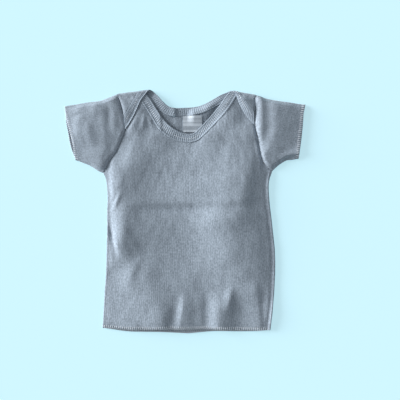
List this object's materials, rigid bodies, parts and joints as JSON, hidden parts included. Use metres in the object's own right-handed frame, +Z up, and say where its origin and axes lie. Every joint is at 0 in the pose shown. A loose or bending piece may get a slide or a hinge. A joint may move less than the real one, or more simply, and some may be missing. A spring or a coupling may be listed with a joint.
{
  "type": "baby top",
  "caption": "Short-sleeved baby top in fine rib knit with an envelope neck, laid flat with its front up.",
  "frame": {"origin": "centre of the outline, on the surface that the top lies on", "axes": "+Z up out of the front, +Y from the hem to the neck, +X to the right of the top as it lies"},
  "size_m": [0.2756, 0.2794, 0.0057],
  "materials": {
    "rib_knit": "matt cotton rib knit, pale grey-blue",
    "rib_binding": "matt cotton rib knit, folded over the neck edge",
    "woven_label": "smooth woven tape, off-white"
  },
  "bodies": {
    "root": {"back": "rib_knit", "front": "rib_knit", "sleeve_left": "rib_knit", "sleeve_right": "rib_knit", "neck_binding_back": "rib_binding", "neck_binding_front": "rib_binding", "label": "woven_label"}
  },
  "joints": []
}
